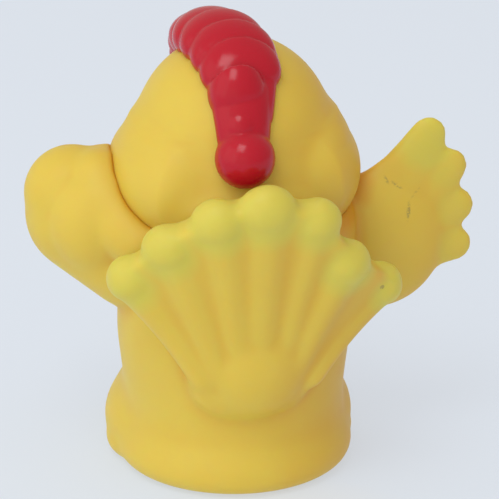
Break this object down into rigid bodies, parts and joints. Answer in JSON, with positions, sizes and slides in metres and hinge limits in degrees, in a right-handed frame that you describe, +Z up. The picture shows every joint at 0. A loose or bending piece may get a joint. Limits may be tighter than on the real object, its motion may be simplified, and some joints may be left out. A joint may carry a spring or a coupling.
{
  "type": "rubber toy chicken",
  "caption": "Hollow soft-vinyl squeeze toy in the shape of a standing chicken, with a turning head, a raised wing, a folded wing, a fanned tail and a reed squeaker in its base.",
  "frame": {"origin": "centre of the flat base, on the surface that the toy stands on and on the axis that the head turns about", "axes": "+Z up, the beak points along -Y and the tail fan along +Y, and the toy's own left wing is at +X"},
  "size_m": [0.0583, 0.047, 0.0611],
  "materials": {
    "yellow_vinyl": "soft satin rotocast vinyl, with lemon tips",
    "red_vinyl": "glossy moulded vinyl",
    "orange_vinyl": "glossy moulded vinyl",
    "black_plastic": "polished",
    "white_plastic": "as moulded",
    "reed_film": "thin translucent film"
  },
  "bodies": {
    "body": {"body": "yellow_vinyl", "squeaker_housing": "white_plastic", "squeaker_cap": "white_plastic", "reed_block": "white_plastic", "reed_clamp": "white_plastic", "reed": "reed_film"},
    "head": {"head": "yellow_vinyl", "comb": "red_vinyl", "beak": "orange_vinyl", "wattle": "red_vinyl", "left_eye": "black_plastic", "right_eye": "black_plastic"}
  },
  "joints": [
    {"name": "head_turn", "type": "hinge", "parent": "body", "child": "head", "pos_m": [0, 0, 0.033], "axis": [0, 0, 1], "range_deg": [-60, 60]}
  ]
}
